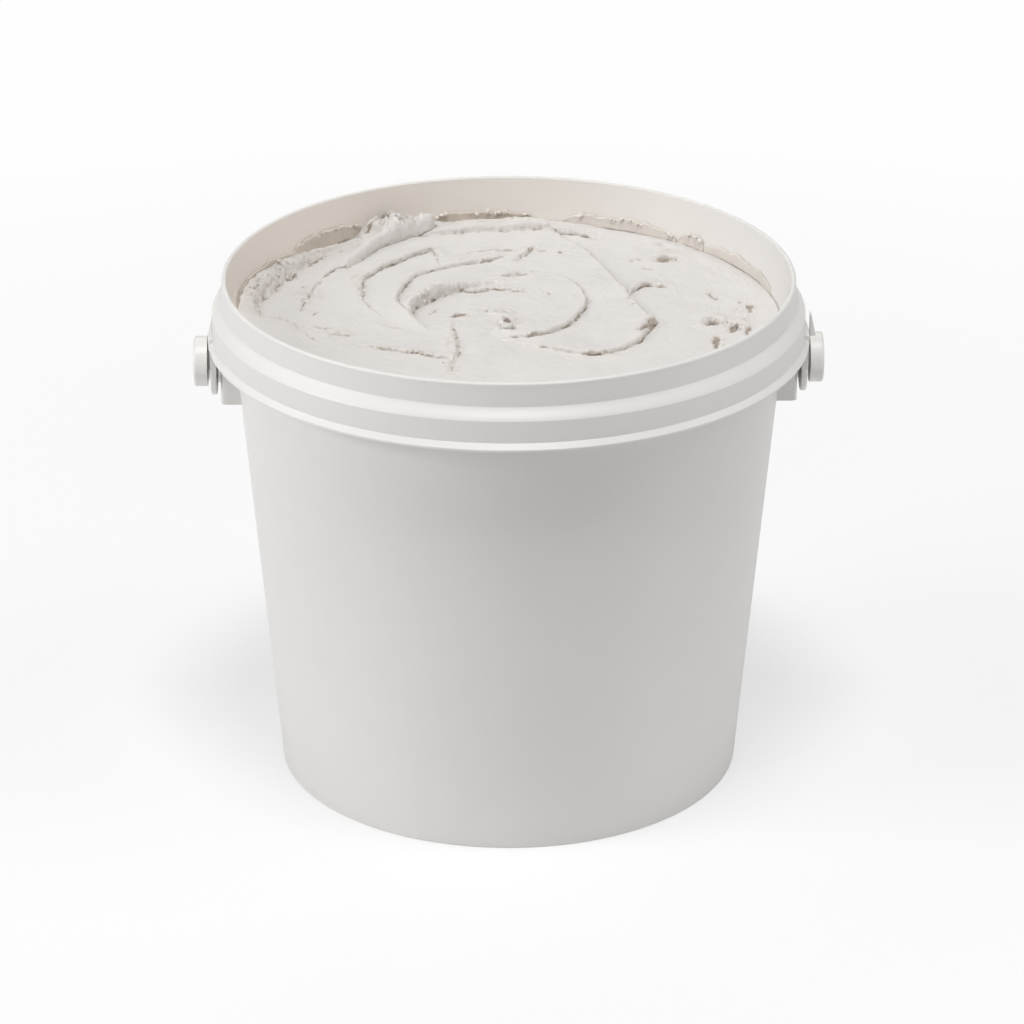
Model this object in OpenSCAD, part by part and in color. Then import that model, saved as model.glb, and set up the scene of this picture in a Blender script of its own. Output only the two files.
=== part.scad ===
// Round plastic tub of wall filler, open, with its moulded carrying bail swung back.
// Millimetres. Origin: centre of the base. +Z is up, +X points to the right-hand ear,
// and the bail hangs on the +Y side.

/* [Tub] */
// Height from the foot ring to the top of the rim
tub_h = 206.3; // [180:1:240]
// Outer radius of the wall at the base
base_r = 92.2; // [86:0.5:98]
// How much wider the wall is at rim height than at the base, on the radius
wall_flare = 18.7; // [15:0.1:22]
// Thickness of the wall
wall_t = 2; // [1.6:0.1:3]
// Thickness of the floor
floor_t = 2.2; // [1.6:0.1:4]
// Height of the foot ring under the floor
foot_h = 1.6; // [1:0.1:3]
// Width of the foot ring
foot_w = 3.2; // [2.5:0.1:6]
// Rounding of the outer base edge
base_edge_r = 1; // [0.6:0.1:2]
// Rounding inside, between the floor and the wall
floor_fillet_r = 5; // [2:0.5:10]

/* [Rim and collar] */
// How far the rim, where a lid grips, stands out beyond the line of the wall
rim_out = 2.1; // [1.8:0.1:2.6]
// Thickness of the rim's lip
lip_t = 2; // [1.8:0.1:2.4]
// Rounding of the lip's top edges
lip_edge_r = 0.9; // [0.4:0.1:0.9]
// Depth below the rim top of the cylindrical land
land_drop = 2.6; // [2:0.1:4]
// How far the upper band stands out beyond the rim at its foot
band_out = 0.3; // [0.1:0.1:1.4]
// Height of the upper band
band_h = 6.8; // [5:0.1:8]
// How far the skirt stands out beyond the rim
skirt_out = 3.9; // [3:0.1:4.4]
// Height of the rounded shoulder between the upper band and the skirt
shoulder_h = 4.5; // [4:0.1:7]
// Height of the plain skirt
skirt_h = 8.7; // [6:0.1:12]
// Thickness of the skirt
skirt_t = 1.6; // [1.2:0.1:2.2]
// How far the hem round the skirt's lower edge stands out
hem_out = 1.9; // [0.5:0.1:2.2]
// Height over which the skirt slopes out to the hem
hem_slope_h = 2; // [1.5:0.1:4]
// Height of the hem's outer face
hem_h = 0.8; // [0.6:0.1:2]
// How far the hollow behind the skirt runs up past the shoulder's foot
hollow_rise = 0.8; // [0:0.1:1.2]
// Depth at which the mouth begins to flare outwards inside
throat_drop = 16.9; // [15:0.1:20]
// Number of stiffening ribs behind the skirt
rib_count = 16; // [8:4:24]
// Thickness of a rib
rib_t = 1.4; // [1:0.1:2]
// Distance that the ribs stop short of the collar's lowest edge
rib_short = 3; // [1:0.5:8]
// How far each rib is sunk into the collar above it
rib_sink = 0.2; // [0.1:0.05:0.3]

/* [Ears] */
// Distance of the bail's pivot axis below the collar
pivot_below = 10.5; // [7:0.05:12]
// How far the inner lug's outer face lies inside the skirt's outer face
lug_in = 3.1; // [2.1:0.1:3.4]
// Width of the inner lug
lug_w = 24; // [20:0.5:30]
// Distance from the pivot down to the inner lug's flat bottom
lug_below = 13.9; // [12:0.1:16]
// Rounding of the inner lug's upright corners
lug_corner_r = 2; // [1:0.1:4]
// Width of the slot between the inner lug and the outer cheek
slot_w = 1.6; // [0.6:0.1:2]
// Thickness of the outer cheek
cheek_t = 2.4; // [1.6:0.1:3]
// Radius of the cheek's rounded lower end
cheek_r = 13.4; // [12:0.1:15]
// How far the cheek's flat top stands above the collar's lowest edge
cheek_rise = 3.6; // [1:0.1:6]
// Rounding of the cheek's edge
cheek_edge_r = 0.8; // [0.4:0.1:0.9]
// Length of the bore through the inner lug to the snap pocket
lug_bore_l = 3; // [2:0.1:3.1]
// Depth of the snap pocket inside the inner lug
pocket_l = 2.7; // [2.4:0.1:2.9]
// Radius of the snap pocket
pocket_r = 5.4; // [5.1:0.1:6]

/* [Bail] */
// Gap between the tub and the inner faces of the bail's round ends
disc_gap = 0.3; // [0.2:0.1:0.8]
// How far the strap's inner face lies outside the inner faces of the round ends
strap_in = 1.9; // [1.5:0.1:3]
// Thickness of the strap, away from the tub
strap_t = 3; // [2.4:0.1:3.4]
// Width of the strap
strap_w = 9; // [7:0.5:12]
// Thickness of the grip
grip_t = 5.6; // [4:0.1:6]
// Width of the grip
grip_w = 18; // [12:0.5:19]
// Angle that the grip takes of the bail's arc
grip_arc = 46; // [30:1:60]
// Number of finger ribs on the grip
grip_ribs = 7; // [3:1:9]
// Height of a finger rib
grip_rib_h = 0.6; // [0.3:0.1:0.8]
// Angle that one finger rib takes of the arc
grip_rib_arc = 1.6; // [1:0.1:2.5]
// Radius of the round ends of the bail
disc_r = 10; // [9:0.1:10.8]
// Thickness of a round end
disc_t = 5.4; // [5.2:0.1:8]
// Rounding of a round end's outer edge
disc_edge_r = 1.1; // [0.5:0.1:2]
// Radius of the stub axle
stub_r = 4; // [3:0.1:4.5]
// Running clearance of the stub axle in its bores, on the radius
stub_fit = 0.06; // [0.03:0.01:0.1]
// Radius of the snap head on the stub axle
snap_r = 4.9; // [4.7:0.1:5]
// Length of the snap head
snap_l = 1.9; // [1.6:0.1:2]
// End play between the snap head and the lug
snap_gap = 0.3; // [0.1:0.1:0.5]
// Height of the fin above the right-hand round end
fin_rise = 8.4; // [4:0.1:10]
// Thickness of the fin, round the pivot
fin_t = 4.4; // [3:0.1:6]
// Gap between the hanging bail and the wall that it rests on
hang_gap = 0.3; // [0.2:0.1:1]

/* [Filler] */
// Depth of the filler's surface below the rim top
filler_drop = 17.2; // [17:0.1:40]
// Clearance between the filler and the tub's wall
filler_gap = 0.3; // [0.1:0.1:0.5]
// Height of the tallest trowel ridge
ridge_h = 7.6; // [1:0.1:8]
// Height of the dried film left on the wall
film_h = 5.2; // [1:0.1:6]
// Thickness of the dried film
film_t = 0.7; // [0.4:0.1:1.2]
// Clearance of the dried film from the wall and the filler
film_gap = 0.15; // [0.1:0.05:0.3]

/* [Hidden] */
$fn = 128;

// How far a cut runs past the face that it opens
overrun = 1;
// Straight steps in a small rounding, in a large one and down the collar's shoulder
fine_steps = 4;
fillet_steps = 6;
shoulder_steps = 8;
// Rounding of the strap and the grip, against their thickness
round_share = 0.42;

// Heights worked out from depths below the rim
land_z = tub_h - land_drop;
band_z = land_z - band_h;
shoulder_z = band_z - shoulder_h;
skirt_z = shoulder_z - skirt_h;
collar_z = skirt_z - hem_slope_h - hem_h;
hollow_z = shoulder_z + hollow_rise;
throat_z = tub_h - throat_drop;
pivot_z = collar_z - pivot_below;
filler_z = tub_h - filler_drop;
floor_z = foot_h + floor_t;
lug_z = pivot_z - lug_below;

// Radii and distances from the tub's axis, each from the one inside it
rim_r = base_r + wall_flare + rim_out;
band_r = rim_r + band_out;
skirt_r = rim_r + skirt_out;
hem_r = skirt_r + hem_out;
mouth_r = rim_r - lip_t;
lug_face_x = skirt_r - lug_in;
cheek_in_x = lug_face_x + slot_w;
cheek_out_x = cheek_in_x + cheek_t;
disc_in_x = max(cheek_out_x, hem_r) + disc_gap;
bail_r = disc_in_x + strap_in;

// Taper of the wall
wall_slope = wall_flare / tub_h;
function wall_r(z) = base_r + wall_slope * z;
function plain_cavity_r(z) = wall_r(z) - wall_t;
mouth_slope = (mouth_r - plain_cavity_r(throat_z)) / (tub_h - throat_z);
function cavity_r(z) = z < throat_z
    ? plain_cavity_r(z)
    : plain_cavity_r(throat_z) + mouth_slope * (z - throat_z);

function arc(c, r, from, to, steps) =
    [for (i = [0:steps]) let (a = from + (to - from) * i / steps)
        [c[0] + r * cos(a), c[1] + r * sin(a)]];

// A rectangle with rounded corners, as one outline
function rounded_box(x0, x1, y0, y1, r) = concat(
    arc([x1 - r, y0 + r], r, -90, 0, fine_steps),
    arc([x1 - r, y1 - r], r, 0, 90, fine_steps),
    arc([x0 + r, y1 - r], r, 90, 180, fine_steps),
    arc([x0 + r, y0 + r], r, 180, 270, fine_steps)
);

// How much the shoulder eases out at its two ends
ease_share = 0.35;
// The shoulder is an S-shaped step, from the skirt up to the upper band
shoulder_outline =
    [for (i = [0:shoulder_steps]) let (share = i / shoulder_steps)
        [skirt_r - (skirt_r - band_r) * (share * (1 - ease_share) + ease_share * (1 - cos(180 * share)) / 2),
         shoulder_z + (band_z - shoulder_z) * share]];

// Outer skin of the tub, from the middle of the floor round to the middle of the mouth
tub_outline = concat(
    [[0, foot_h], [base_r - foot_w, foot_h], [base_r - foot_w, 0]],
    arc([base_r - base_edge_r, base_edge_r], base_edge_r, -90, 0, fine_steps),
    [[wall_r(hollow_z), hollow_z], [skirt_r - skirt_t, hollow_z], [skirt_r - skirt_t, collar_z]],
    [[hem_r, collar_z], [hem_r, collar_z + hem_h], [skirt_r, skirt_z]],
    shoulder_outline,
    [[rim_r, land_z]],
    arc([rim_r - lip_edge_r, tub_h - lip_edge_r], lip_edge_r, 0, 90, fine_steps),
    [[0, tub_h]]
);

// The space inside the tub
cavity_outline = concat(
    [[0, floor_z]],
    arc([cavity_r(floor_z + floor_fillet_r) - floor_fillet_r, floor_z + floor_fillet_r],
        floor_fillet_r, -90, 0, fillet_steps),
    [[cavity_r(throat_z), throat_z]],
    arc([mouth_r + lip_edge_r, tub_h - lip_edge_r], lip_edge_r, 180, 90, fine_steps),
    [[mouth_r + lip_edge_r, tub_h + overrun], [0, tub_h + overrun]]
);

// Turns what is drawn along +Z so that it lies along +X at the height of the pivot
module on_pivot() {
    translate([0, 0, pivot_z]) rotate([0, 90, 0]) children();
}

module both_sides() {
    children();
    mirror([1, 0, 0]) children();
}

// Stiffening ribs between the wall and the skirt, hidden behind the collar
module collar_ribs() {
    rib_z = collar_z + rib_short;
    rib_in_r = wall_r(rib_z) - wall_t / 2;
    rib_out_r = skirt_r - skirt_t / 2;
    for (i = [0:rib_count - 1])
        rotate([0, 0, (i + 0.5) * 360 / rib_count])
            translate([rib_in_r, -rib_t / 2, rib_z])
                cube([rib_out_r - rib_in_r, rib_t, hollow_z + rib_sink - rib_z]);
}

// Solid lug that carries the stub axle
module inner_lug() {
    root_x = wall_r(lug_z) - lug_corner_r - wall_t;
    translate([0, 0, lug_z])
        linear_extrude(hollow_z + wall_t / 2 - lug_z)
            polygon(rounded_box(root_x, lug_face_x, -lug_w / 2, lug_w / 2, lug_corner_r));
}

// Thin cheek outside the lug, with a round lower end, hung from the skirt
module outer_cheek() {
    edge = concat(
        [[0, 0]],
        arc([cheek_r - cheek_edge_r, cheek_edge_r], cheek_edge_r, -90, 0, fine_steps),
        arc([cheek_r - cheek_edge_r, cheek_t - cheek_edge_r], cheek_edge_r, 0, 90, fine_steps),
        [[0, cheek_t]]
    );
    translate([cheek_in_x, 0, pivot_z]) {
        rotate([0, 90, 0])
            rotate([0, 0, -90])
                rotate_extrude(angle = 180) polygon(edge);
        translate([0, -cheek_r, 0])
            cube([cheek_t, 2 * cheek_r, collar_z + cheek_rise - pivot_z]);
    }
}

// Bores for the stub axle, with the pocket that its snap head springs into
module pivot_bores() {
    bore_r = stub_r + stub_fit;
    pocket_x = lug_face_x - lug_bore_l;
    on_pivot() {
        translate([0, 0, pocket_x])
            cylinder(r = bore_r, h = cheek_out_x + overrun - pocket_x);
        translate([0, 0, pocket_x - pocket_l])
            cylinder(r = pocket_r, h = pocket_l);
    }
}

module tub_body() {
    color("whitesmoke")
        difference() {
            union() {
                rotate_extrude() polygon(tub_outline);
                collar_ribs();
                both_sides() {
                    inner_lug();
                    outer_cheek();
                }
            }
            rotate_extrude() polygon(cavity_outline);
            both_sides() pivot_bores();
        }
}

// Angle of the hanging bail from straight down, where the lower edge of its grip meets the wall
grip_half = grip_w / 2 + grip_rib_h;
hang_reach = bail_r + wall_slope * grip_half;
hang_rise = wall_slope * bail_r - grip_half;
hang_angle = asin((wall_r(pivot_z) + hang_gap) / norm([hang_reach, hang_rise]))
    - atan2(hang_rise, hang_reach);

// Stub axle and round end, drawn along the pivot axis from the tub outwards
module bail_end() {
    head_x = lug_face_x - lug_bore_l - snap_gap;
    lead_share = 0.3;
    nose_share = 0.72;
    outline = concat(
        [[0, head_x - snap_l], [snap_r * nose_share, head_x - snap_l]],
        [[snap_r, head_x - snap_l * lead_share], [snap_r, head_x], [stub_r, head_x]],
        [[stub_r, disc_in_x], [disc_r, disc_in_x]],
        arc([disc_r - disc_edge_r, disc_in_x + disc_t - disc_edge_r], disc_edge_r, 0, 90, fine_steps),
        [[0, disc_in_x + disc_t]]
    );
    on_pivot() rotate_extrude() polygon(outline);
}

// Small fin on the right-hand round end, outside the collar
module disc_fin() {
    lean_share = 0.4;
    top_x = disc_in_x + disc_t * lean_share;
    foot = disc_r / 2;
    translate([0, fin_t / 2, pivot_z])
        rotate([90, 0, 0])
            linear_extrude(fin_t)
                polygon([
                    [disc_in_x, foot],
                    [top_x, foot],
                    [top_x, disc_r],
                    [disc_in_x + disc_t / 10, disc_r + fin_rise],
                    [disc_in_x, disc_r + fin_rise]
                ]);
}

// A band about the pivot axis, centred on the middle of the bail's arc
module bail_band(t, w, r, sweep, lift = 0) {
    rotate([0, 0, 90 - sweep / 2])
        rotate_extrude(angle = sweep)
            polygon(rounded_box(bail_r, bail_r + t + lift, -w / 2 - lift, w / 2 + lift, r));
}

module bail() {
    strap_round = strap_t * round_share;
    grip_round = grip_t * round_share;
    color("whitesmoke")
        union() {
            both_sides() bail_end();
            disc_fin();
            translate([0, 0, pivot_z])
                rotate([hang_angle - 90, 0, 0]) {
                    bail_band(strap_t, strap_w, strap_round, 180);
                    bail_band(grip_t, grip_w, grip_round, grip_arc);
                    for (i = [1:grip_ribs])
                        rotate([0, 0, (i / (grip_ribs + 1) - 0.5) * grip_arc])
                            bail_band(grip_t, grip_w, grip_round, grip_rib_arc, grip_rib_h);
                }
        }
}

// Strokes of the trowel, in shares of the filler's radius: centre, first and last angle in
// degrees, radius at the start, middle and end, height and width, and the side that stands
// higher, 1 outside the stroke and -1 inside it
stroke_shares = [
    [0, 0.11, 186, 142, 0.959, 0.863, 0.842, 0.61, 0.045, 1],
    [0, 0.11, 148, 105, 0.716, 0.789, 0.851, 0.48, 0.049, 1],
    [0, 0.11, 112, 68, 0.792, 0.797, 0.814, 0.36, 0.079, 1],
    [0, 0.11, 191, 110, 0.514, 0.604, 0.641, 0.15, 0.052, 1],
    [0, 0.11, 224, 106, 0.357, 0.436, 0.482, 0.15, 0.05, 1],
    [0, 0.11, 203, 123, 0.418, 0.302, 0.232, 0.49, 0.053, 1],
    [0, 0.11, 144, 59, 0.132, 0.19, 0.093, 0.11, 0.098, 1],
    [0, 0.11, -102, 15, 0.351, 0.27, 0.27, 0.22, 0.086, -1],
    [0, 0.11, 5, 84, 0.246, 0.315, 0.337, 0.11, 0.094, -1],
    [0, 0.11, 87, -32, 0.838, 0.435, 0.618, 0.19, 0.105, -1],
    [0, 0.11, -1, -81, 0.378, 0.58, 0.351, 0.16, 0.107, -1],
    [0, 0.11, 10, 28, 0.46, 0.55, 0.62, 0.15, 0.06, 1],
    [0, 0.11, 108, 129, 0.886, 0.861, 0.843, 0.88, 0.173, 1]
];
// Width of a stroke's steep side, against its whole width
cliff_share = 0.4;
// Depth of the dish that the trowel leaves round the middle, against the ridge height
dish_share = 0.2;

// Grid of the swirled surface: steps round it and steps out from the middle of the swirl
swirl_turns = 96;
swirl_rings = 28;
swirl_centre_share = 0.11;
filler_r = cavity_r(filler_z) - filler_gap;
swirl_centre = [0, swirl_centre_share * filler_r];

// Radius along a stroke, through its start, middle and end
function bow(q, from, mid, to) = from + (to - from) * q + (4 * mid - 2 * from - 2 * to) * q * (1 - q);

// Height that one stroke adds at a point, against the ridge height
function stroke_lift(p, s) =
    let (
        d = p - [s[0], s[1]] * filler_r,
        off = atan2(d[1], d[0]) - (s[2] + s[3]) / 2,
        q = (off - 360 * round(off / 360)) / (s[3] - s[2]) + 0.5
    )
    q <= 0 || q >= 1 ? 0 :
    let (u = (norm(d) / filler_r - bow(q, s[4], s[5], s[6])) * s[9] / s[8])
    s[7] * sqrt(sin(180 * q)) * (u < 0 ? max(0, 1 + u / cliff_share) : exp(-u * u));

function add_up(list, i = 0) = i < len(list) ? list[i] + add_up(list, i + 1) : 0;

// Height of the swirled surface at a point, above the filler's level
function swirl_z(p) = ridge_h * (
    add_up([for (s = stroke_shares) stroke_lift(p, s)])
    - dish_share * pow(max(0, 1 - norm(p - swirl_centre) / filler_r), 2)
);

// Where a line from the middle of the swirl meets the wall
function wall_point(a) =
    let (
        u = [cos(a), sin(a)],
        along = swirl_centre * u
    )
    swirl_centre + u * (sqrt(along * along + filler_r * filler_r - swirl_centre * swirl_centre) - along);

function swirl_ring(j) =
    [for (i = [0:swirl_turns - 1]) let (
        p = swirl_centre + (wall_point(360 * i / swirl_turns) - swirl_centre) * j / swirl_rings
    ) [p[0], p[1], filler_z + swirl_z(p)]];

// Ring of the filler's side, under the swirled edge
function side_ring(r, z) =
    [for (i = [0:swirl_turns - 1]) let (p = wall_point(360 * i / swirl_turns) / filler_r * r)
        [p[0], p[1], z]];

module filler() {
    side_z = filler_z - ridge_h;
    corner = [cavity_r(floor_z + floor_fillet_r) - floor_fillet_r - filler_gap, floor_z + floor_fillet_r];
    side = concat(
        throat_z > side_z && throat_z < filler_z ? [[cavity_r(throat_z) - filler_gap, throat_z]] : [],
        [[cavity_r(side_z) - filler_gap, side_z]],
        arc(corner, floor_fillet_r, 0, -90, fine_steps)
    );
    rings = concat(
        [for (j = [swirl_rings:-1:1]) swirl_ring(j)],
        [for (s = side) side_ring(s[0], s[1])]
    );
    // The rings run from the swirl's middle out to its edge, then down the side
    ordered = concat(
        [for (j = [1:swirl_rings]) rings[swirl_rings - j]],
        [for (j = [swirl_rings:len(rings) - 1]) rings[j]]
    );
    n = swirl_turns;
    last = len(ordered) - 1;
    points = concat(
        [for (ring = ordered) for (p = ring) p],
        [[swirl_centre[0], swirl_centre[1], filler_z + swirl_z(swirl_centre)], [0, 0, floor_z]]
    );
    top = n * len(ordered);
    faces = concat(
        [for (i = [0:n - 1]) [top, (i + 1) % n, i]],
        [for (j = [0:last - 1]) for (i = [0:n - 1])
            [j * n + i, j * n + (i + 1) % n, (j + 1) * n + (i + 1) % n]],
        [for (j = [0:last - 1]) for (i = [0:n - 1])
            [j * n + i, (j + 1) * n + (i + 1) % n, (j + 1) * n + i]],
        [for (i = [0:n - 1]) [top + 1, last * n + i, last * n + (i + 1) % n]]
    );
    color("gainsboro") polyhedron(points = points, faces = faces);
}

// Patches of dried film above the filler: first and last angle in degrees, and height share
film_shares = [
    [12, 39, 0.76],
    [41, 77, 0.67],
    [84, 99, 0.73],
    [131, 143, 0.98],
    [146, 175, 0.83]
];
film_thin_share = 0.4;

module wall_film() {
    color("linen")
        for (s = film_shares) {
            step = 360 / swirl_turns;
            edge = [for (a = [s[0] - step:s[1] + step]) swirl_z([cos(a), sin(a)] * filler_r)];
            low_z = filler_z + max(edge) + film_gap;
            high_z = low_z + film_h * s[2];
            low_r = cavity_r(low_z) - film_gap;
            high_r = cavity_r(high_z) - film_gap;
            rotate([0, 0, s[0]])
                rotate_extrude(angle = s[1] - s[0])
                    polygon([
                        [low_r - film_t, low_z],
                        [low_r, low_z],
                        [high_r, high_z],
                        [high_r - film_t * film_thin_share, high_z]
                    ]);
        }
}

tub_body();
bail();
filler();
wall_film();
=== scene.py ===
# %% [markdown]
# # A tub of ready-mixed wall filler
# The object is a round moulded plastic tub, open, with its carrying bail swung back, and
# full of thick filler that a trowel has stirred and pulled into ridges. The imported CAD
# model gives the tub and the bail to the tenth of a millimetre, so this lesson keeps both
# and gives them a better surface. The filler is the soft, torn, hand-made part of the
# scene, and it is modelled here.

# %% Load the CAD model and measure it
import math

import bmesh
import bpy
import numpy as np
from mathutils import Matrix, Vector, noise


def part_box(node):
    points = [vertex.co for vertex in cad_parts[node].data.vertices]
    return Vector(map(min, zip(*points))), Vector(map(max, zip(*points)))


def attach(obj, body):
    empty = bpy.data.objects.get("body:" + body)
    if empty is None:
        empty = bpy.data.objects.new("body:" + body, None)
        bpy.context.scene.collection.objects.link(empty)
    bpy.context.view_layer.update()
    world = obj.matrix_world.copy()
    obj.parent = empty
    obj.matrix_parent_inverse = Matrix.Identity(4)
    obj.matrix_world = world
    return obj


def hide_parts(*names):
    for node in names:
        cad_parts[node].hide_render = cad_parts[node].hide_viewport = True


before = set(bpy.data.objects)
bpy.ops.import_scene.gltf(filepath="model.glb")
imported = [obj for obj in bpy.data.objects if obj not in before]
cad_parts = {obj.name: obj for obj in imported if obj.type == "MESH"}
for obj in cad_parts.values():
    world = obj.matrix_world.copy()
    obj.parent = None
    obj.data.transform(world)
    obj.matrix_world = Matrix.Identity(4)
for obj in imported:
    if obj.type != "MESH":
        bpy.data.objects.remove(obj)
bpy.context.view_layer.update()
MM = 0.001
tub_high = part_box("tub_body")[1]
TUB_H = tub_high.z / MM

# Millimetres: the wall's outer radius at the floor, how much wider it is at the top, its
# thickness, and the inner radius above the height where the mouth widens
BASE_R = 92.2
WALL_FLARE = 18.7
WALL_T = 2.0
MOUTH_R = 111.05
THROAT_Z = 192.5

# %% [markdown]
# ## Camera
# A camera that matches a photograph needs four things: where it stands, how far it looks
# down, its focal length, and a small shift where the picture's middle isn't the lens's
# middle. They were worked out from the ellipses of the rim, the collar and the base. A
# long lens from about two metres away keeps the perspective gentle.

# %% Place the camera
CAMERA_BACK = 1862.1 * MM
CAMERA_UP = 928.2 * MM
LOOK_DOWN = math.radians(23.876)
VIEW_TURN = math.radians(1.1)
SENSOR_WIDTH = 36.0
LENS = 178.3
SHIFT_X = 0.0032

lens_data = bpy.data.cameras.new("photo_camera")
lens_data.sensor_width = SENSOR_WIDTH
lens_data.lens = LENS
lens_data.shift_x = SHIFT_X
lens_data.clip_start, lens_data.clip_end = 0.05, 30
camera = bpy.data.objects.new("photo_camera", lens_data)
camera.location = (-CAMERA_BACK * math.sin(VIEW_TURN), -CAMERA_BACK * math.cos(VIEW_TURN), CAMERA_UP)
camera.rotation_euler = (math.pi / 2 - LOOK_DOWN, 0, -VIEW_TURN)
bpy.context.scene.collection.objects.link(camera)
bpy.context.scene.camera = camera
bpy.context.scene.view_settings.view_transform = "Standard"
print("camera", [round(x, 3) for x in camera.location])

# %% [markdown]
# ## Helpers for building materials
# Every finish here is a small node tree. These helpers add a node, set its sockets and
# join it to others, so that each material reads as a short list of what it does.


# %% Node helpers
def add_node(tree, kind, inputs=None, **settings):
    """Adds a node, sets its properties, then fills its sockets with numbers or links."""
    made = tree.nodes.new(kind)
    for name, value in settings.items():
        setattr(made, name, value)
    for name, value in (inputs or {}).items():
        if isinstance(value, bpy.types.NodeSocket):
            tree.links.new(value, made.inputs[name])
        else:
            made.inputs[name].default_value = value
    return made


def new_group(name, inputs, outputs):
    """Starts a shader node group with named inputs and outputs."""
    group = bpy.data.node_groups.new(name, "ShaderNodeTree")
    for label, kind, start in inputs:
        socket = group.interface.new_socket(label, in_out="INPUT", socket_type=kind)
        socket.default_value = start
    for label, kind in outputs:
        group.interface.new_socket(label, in_out="OUTPUT", socket_type=kind)
    given = group.nodes.new("NodeGroupInput").outputs
    result = group.nodes.new("NodeGroupOutput").inputs
    return group, given, result


def place_group(tree, group, inputs):
    """Puts a node group into a material and fills its named sockets."""
    return add_node(tree, "ShaderNodeGroup", inputs, node_tree=group)


def number_math(tree, operation, *values):
    """Adds a Math node and returns its result."""
    return add_node(tree, "ShaderNodeMath", dict(enumerate(values)), operation=operation).outputs[0]


def point_math(tree, operation, *values):
    """Adds a Vector Math node and returns its result, which is a number for LENGTH."""
    made = add_node(tree, "ShaderNodeVectorMath", dict(enumerate(values)), operation=operation)
    return made.outputs["Value" if operation == "LENGTH" else "Vector"]


def remap(tree, value, from_min=0.0, from_max=1.0, to_min=0.0, to_max=1.0):
    """Carries a value from one range into another and returns the result."""
    ends = {"From Min": from_min, "From Max": from_max, "To Min": to_min, "To Max": to_max}
    return add_node(tree, "ShaderNodeMapRange", {"Value": value, **ends}).outputs["Result"]


def blend(tree, share, first, second):
    """Mixes two colours, each three numbers or a link, and returns the result."""
    pair = [c if isinstance(c, bpy.types.NodeSocket) else (*c, 1) for c in (first, second)]
    made = add_node(tree, "ShaderNodeMix", {"Factor": share, 6: pair[0], 7: pair[1]}, data_type="RGBA")
    return made.outputs[2]


def new_material(name):
    """Makes an empty node material and returns it with its tree and Principled shader."""
    material = bpy.data.materials.new(name)
    material.use_nodes = True
    return material, material.node_tree, material.node_tree.nodes["Principled BSDF"]


# %% [markdown]
# ## Mottle and grain, two effects that several materials share
# Real plastic and real filler are never one flat colour. `soft_mottle` gives a slow, cloudy
# mask for small shifts of tone. `fine_grain` turns two sizes of noise into a surface normal:
# the larger one is the slight waviness of a moulded wall, the smaller one the texture that
# the mould or the paste leaves. Both read Object coordinates, so they don't slide when a
# piece moves.


# %% Build the two shared groups
def build_soft_mottle():
    """A slow, cloudy mask."""
    group, given, result = new_group(
        "soft_mottle",
        [("Vector", "NodeSocketVector", (0, 0, 0)), ("Scale", "NodeSocketFloat", 20.0)],
        [("Mask", "NodeSocketFloat")],
    )
    cloud = add_node(
        group,
        "ShaderNodeTexNoise",
        {"Vector": given["Vector"], "Scale": given["Scale"], "Detail": 5.0, "Roughness": 0.6},
    )
    group.links.new(remap(group, cloud.outputs["Fac"], 0.3, 0.7), result["Mask"])
    return group


def build_fine_grain():
    """A normal bent by two sizes of noise, the smaller one laid over the larger."""
    group, given, result = new_group(
        "fine_grain",
        [
            ("Vector", "NodeSocketVector", (0, 0, 0)),
            ("Wave Scale", "NodeSocketFloat", 30.0),
            ("Wave Depth", "NodeSocketFloat", 0.0002),
            ("Grain Scale", "NodeSocketFloat", 1200.0),
            ("Grain Depth", "NodeSocketFloat", 0.00002),
        ],
        [("Normal", "NodeSocketVector")],
    )
    normal = {}
    for size, detail in (("Wave", 2.0), ("Grain", 3.0)):
        rough = add_node(
            group,
            "ShaderNodeTexNoise",
            {"Vector": given["Vector"], "Scale": given[size + " Scale"], "Detail": detail},
        )
        height = {"Height": rough.outputs["Fac"], "Distance": given[size + " Depth"], "Strength": 1.0}
        normal["Normal"] = add_node(group, "ShaderNodeBump", {**height, **normal}).outputs["Normal"]
    group.links.new(normal["Normal"], result["Normal"])
    return group


soft_mottle = build_soft_mottle()
fine_grain = build_fine_grain()
print("shared effects:", soft_mottle.name, fine_grain.name)

# %% [markdown]
# ## Moulded plastic
# Tubs like this are moulded in white polypropylene: a warm white with a satin gloss, a very
# fine grain from the mould, long shallow waves in the wall where it cooled, and faint
# scratches from being stacked one inside another. The scratches are a noise stretched along
# Z, kept to a few thin lines by a narrow ramp, and they only change the roughness. The
# inside is painted a darker, warmer beige as a painted shade, strongest on the left wall,
# which faces away from the left lamp.


# %% Make the tub and bail materials
# Painted shade for the inside of the tub: a darker, warmer beige, strongest on the left
INSIDE_SHADE_COLOUR = (0.785, 0.717, 0.645)
INSIDE_SHADE_LEFT = -0.06
INSIDE_SHADE_RIGHT = 0.1
INSIDE_SHADE_RIGHT_SHARE = 0.15
SCRATCH_DULLNESS = 0.22


def build_handling_marks():
    """A mask of thin upright scratches, gathered in a few places."""
    group, given, result = new_group(
        "handling_marks",
        [("Vector", "NodeSocketVector", (0, 0, 0)), ("Amount", "NodeSocketFloat", 1.0)],
        [("Mask", "NodeSocketFloat")],
    )
    stretched = add_node(group, "ShaderNodeMapping", {"Vector": given["Vector"], "Scale": (260, 260, 9)})
    lines = add_node(
        group, "ShaderNodeTexNoise", {"Vector": stretched.outputs["Vector"], "Scale": 1.0, "Detail": 2.0}
    )
    thin = remap(group, lines.outputs["Fac"], 0.66, 0.74)
    patch = add_node(group, "ShaderNodeTexNoise", {"Vector": given["Vector"], "Scale": 14.0, "Detail": 1.0})
    both = number_math(group, "MULTIPLY", thin, remap(group, patch.outputs["Fac"], 0.45, 0.65))
    group.links.new(number_math(group, "MULTIPLY", both, given["Amount"]), result["Mask"])
    return group


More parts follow.
